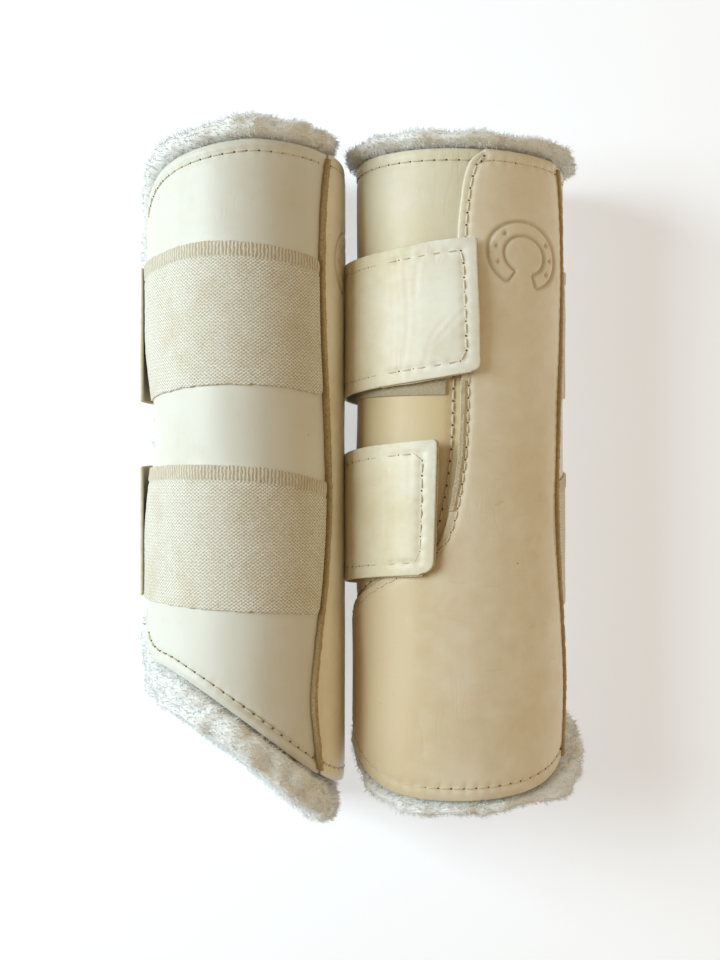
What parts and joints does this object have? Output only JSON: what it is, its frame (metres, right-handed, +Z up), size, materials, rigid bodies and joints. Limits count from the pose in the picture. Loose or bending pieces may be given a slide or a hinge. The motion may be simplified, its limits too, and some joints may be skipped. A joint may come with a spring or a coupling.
{
  "type": "tendon boots",
  "caption": "Pair of fleece-lined tendon boots for a horse's front legs: open-edged leg tubes with a hard strike pad, elastics and hook-and-loop straps.",
  "frame": {"origin": "middle of the surface that both boots lie on, under the centre of their common box", "axes": "+Y along the legs towards the top of the boots, +Z up from the surface, +X from the left boot to the right boot"},
  "size_m": [0.1924, 0.2992, 0.106],
  "materials": {
    "shell_vinyl": "smooth off-white coated cloth, lightly creased",
    "pad_vinyl": "smooth cream coated cloth, scuffed",
    "strap_vinyl": "smooth off-white coated cloth with fold creases",
    "hard_plate": "moulded",
    "foam": "closed-cell foam",
    "fleece": "curly pile",
    "raw_edge": "raw cut edge",
    "loop_tape": "brushed loop tape",
    "elastic": "ribbed woven elastic",
    "hook_tape": "hook tape"
  },
  "bodies": {
    "left_boot": {"left_rear_panel": "shell_vinyl", "left_strike_pad": "pad_vinyl", "left_strike_plate": "hard_plate", "left_rear_foam": "foam", "left_rear_fleece": "fleece", "left_rear_welt": "raw_edge", "left_upper_loop_patch": "loop_tape", "left_lower_loop_patch": "loop_tape"},
    "left_front": {"left_front_panel": "shell_vinyl", "left_front_foam": "foam", "left_front_fleece": "fleece", "left_front_welt": "raw_edge", "left_upper_elastic": "elastic", "left_lower_elastic": "elastic"},
    "left_upper_strap": {"left_upper_strap": "strap_vinyl", "left_upper_strap_hook": "hook_tape"},
    "left_upper_tab": {"left_upper_tab": "strap_vinyl", "left_upper_tab_hook": "hook_tape"},
    "left_lower_strap": {"left_lower_strap": "strap_vinyl", "left_lower_strap_hook": "hook_tape"},
    "left_lower_tab": {"left_lower_tab": "strap_vinyl", "left_lower_tab_hook": "hook_tape"},
    "right_boot": {"right_rear_panel": "shell_vinyl", "right_strike_pad": "pad_vinyl", "right_strike_plate": "hard_plate", "right_rear_foam": "foam", "right_rear_fleece": "fleece", "right_rear_welt": "raw_edge", "right_upper_loop_patch": "loop_tape", "right_lower_loop_patch": "loop_tape"},
    "right_front": {"right_front_panel": "shell_vinyl", "right_front_foam": "foam", "right_front_fleece": "fleece", "right_front_welt": "raw_edge", "right_upper_elastic": "elastic", "right_lower_elastic": "elastic"},
    "right_upper_strap": {"right_upper_strap": "strap_vinyl", "right_upper_strap_hook": "hook_tape"},
    "right_upper_tab": {"right_upper_tab": "strap_vinyl", "right_upper_tab_hook": "hook_tape"},
    "right_lower_strap": {"right_lower_strap": "strap_vinyl", "right_lower_strap_hook": "hook_tape"},
    "right_lower_tab": {"right_lower_tab": "strap_vinyl", "right_lower_tab_hook": "hook_tape"}
  },
  "joints": [
    {"name": "right_boot_slide", "type": "slide", "parent": "left_boot", "child": "right_boot", "axis": [1, 0, 0], "range_m": [0, 0.2]},
    {"name": "left_front_open", "type": "hinge", "parent": "left_boot", "child": "left_front", "pos_m": [-0.01451, 0.0001, 0.08475], "axis": [0, 1, 0], "range_deg": [0, 34]},
    {"name": "left_upper_strap_swing", "type": "hinge", "parent": "left_front", "child": "left_upper_strap", "pos_m": [-0.09561, 0.0001, 0.06304], "axis": [0, 1, 0], "range_deg": [0, 170]},
    {"name": "left_upper_tab_peel", "type": "hinge", "parent": "left_upper_strap", "child": "left_upper_tab", "pos_m": [-0.03729, 0.0001, 0.00223], "axis": [0, 1, 0], "range_deg": [0, 80]},
    {"name": "left_lower_strap_swing", "type": "hinge", "parent": "left_front", "child": "left_lower_strap", "pos_m": [-0.09561, 0.0001, 0.06304], "axis": [0, 1, 0], "range_deg": [0, 170]},
    {"name": "left_lower_tab_peel", "type": "hinge", "parent": "left_lower_strap", "child": "left_lower_tab", "pos_m": [-0.03729, 0.0001, 0.00223], "axis": [0, 1, 0], "range_deg": [0, 80]},
    {"name": "right_front_open", "type": "hinge", "parent": "right_boot", "child": "right_front", "pos_m": [0.09115, 0.0001, 0.06055], "axis": [0, -1, 0], "range_deg": [0, 34]},
    {"name": "right_upper_strap_swing", "type": "hinge", "parent": "right_front", "child": "right_upper_strap", "pos_m": [0.03078, 0.0001, 0.00221], "axis": [0, -1, 0], "range_deg": [0, 170]},
    {"name": "right_upper_tab_peel", "type": "hinge", "parent": "right_upper_strap", "child": "right_upper_tab", "pos_m": [0.00869, 0.0001, 0.08353], "axis": [0, -1, 0], "range_deg": [0, 80]},
    {"name": "right_lower_strap_swing", "type": "hinge", "parent": "right_front", "child": "right_lower_strap", "pos_m": [0.03078, 0.0001, 0.00221], "axis": [0, -1, 0], "range_deg": [0, 170]},
    {"name": "right_lower_tab_peel", "type": "hinge", "parent": "right_lower_strap", "child": "right_lower_tab", "pos_m": [0.00869, 0.0001, 0.08353], "axis": [0, -1, 0], "range_deg": [0, 80]}
  ],
  "couplings": [
    {"joint": "left_upper_strap_swing", "follows": "left_front_open", "ratio": 5},
    {"joint": "right_upper_strap_swing", "follows": "right_boot_slide", "rad_per_m": 14.835},
    {"joint": "left_upper_tab_peel", "follows": "right_boot_slide", "rad_per_m": 6.9813},
    {"joint": "left_lower_strap_swing", "follows": "left_front_open", "ratio": 5},
    {"joint": "right_lower_strap_swing", "follows": "right_boot_slide", "rad_per_m": 14.835},
    {"joint": "left_lower_tab_peel", "follows": "right_boot_slide", "rad_per_m": 6.9813},
    {"joint": "right_front_open", "follows": "right_boot_slide", "rad_per_m": 2.967}
  ]
}
